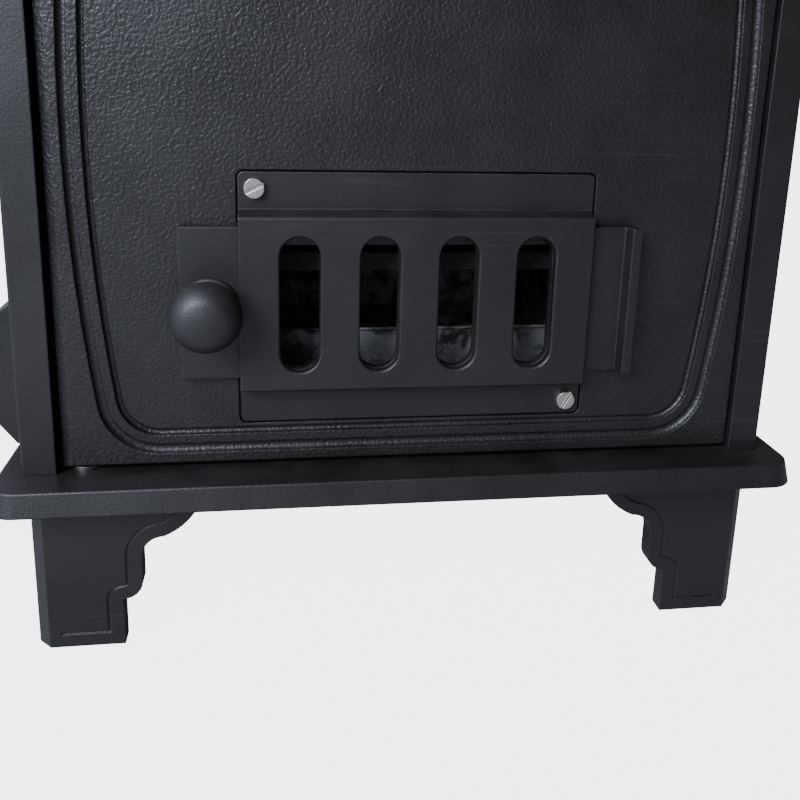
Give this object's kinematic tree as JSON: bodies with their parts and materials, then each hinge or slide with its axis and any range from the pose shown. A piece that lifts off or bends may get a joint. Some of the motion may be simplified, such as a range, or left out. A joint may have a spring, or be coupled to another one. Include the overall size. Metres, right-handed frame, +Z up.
{
  "type": "wood burning stove",
  "caption": "Free-standing cast-iron wood stove on bracket feet, with a hinged glazed door, a sliding slotted air vent with a mushroom knob, firebox, ash pan and top flue collar.",
  "frame": {"origin": "on the floor under the middle of the whole stove's box", "axes": "+Z up, the door faces -Y, +X to the right of a person in front of the door"},
  "size_m": [0.44, 0.404, 0.632],
  "materials": {
    "iron": "satin stove paint over fine sand-cast iron",
    "door_iron": "satin stove paint with a fine orange-peel surface",
    "smooth_iron": "smooth satin stove paint",
    "knob": "satin black, finely textured",
    "raw_iron": "bare grey iron, dulled by heat",
    "fastener": "black-oxide steel",
    "bright_screw": "bright zinc plated",
    "sheet": "matt black sheet steel",
    "galvanised": "galvanised sheet, soot mottled",
    "rope": "knitted glass-fibre rope and tape",
    "brick": "stands in for vermiculite board, matt and granular",
    "glass": "clear ceramic glass"
  },
  "bodies": {
    "root": {"base_plate": "iron", "foot_front_left": "iron", "foot_front_right": "iron", "foot_rear_left": "iron", "foot_rear_right": "iron", "foot_bolts": "fastener", "foot_nuts": "fastener", "top_plate": "iron", "tie_rods": "fastener", "tie_rod_nuts": "fastener", "front_frame": "iron", "right_side_panel": "iron", "left_side_panel": "iron", "rear_panel": "iron", "rear_blanking_plate": "iron", "blanking_plate_screws": "fastener", "rear_heat_shield": "sheet", "shield_spacers": "sheet", "shield_screws": "fastener", "flue_collar": "iron", "flue_collar_gasket": "rope", "flue_collar_bolts": "fastener", "hinge_pins": "fastener", "hinge_washer": "fastener", "latch_keeper": "sheet", "keeper_screws": "fastener", "airwash_guide": "sheet", "airwash_guide_screws": "fastener", "hearth_frame": "raw_iron", "grate": "raw_iron", "firebrick_right": "brick", "firebrick_left": "brick", "firebrick_rear": "brick", "baffle_plate": "brick", "log_fence": "raw_iron", "ash_pan": "galvanised", "ash_pan_handle": "galvanised"},
    "door": {"door": "door_iron", "door_glass": "glass", "glass_gasket": "rope", "glass_clips": "sheet", "glass_clip_screws": "fastener", "door_seal_rope": "rope", "vent_cover": "smooth_iron", "vent_cover_screws": "bright_screw"},
    "handle": {"handle_lever": "smooth_iron", "handle_knob": "knob", "handle_knob_screw": "fastener", "handle_spindle": "fastener", "spindle_washer": "fastener", "spindle_sleeve": "fastener", "latch_cam": "smooth_iron", "latch_nut": "fastener"},
    "slider": {"air_slider": "smooth_iron", "air_slider_knob": "knob", "slider_knob_screw": "fastener"},
    "airwash": {"airwash_slide": "sheet", "airwash_knob": "knob"}
  },
  "joints": [
    {"name": "door_hinge", "type": "hinge", "parent": "root", "child": "door", "pos_m": [-0.1676, -0.142, 0.3], "axis": [0, 0, -1], "range_deg": [0, 110]},
    {"name": "door_latch", "type": "hinge", "parent": "door", "child": "handle", "pos_m": [0.1286, -0.142, 0.455], "axis": [0, 1, 0], "range_deg": [0, 75]},
    {"name": "primary_air", "type": "slide", "parent": "door", "child": "slider", "axis": [-1, 0, 0], "range_m": [0, 0.0175]},
    {"name": "airwash_air", "type": "slide", "parent": "root", "child": "airwash", "axis": [1, 0, 0], "range_m": [0, 0.01]}
  ]
}
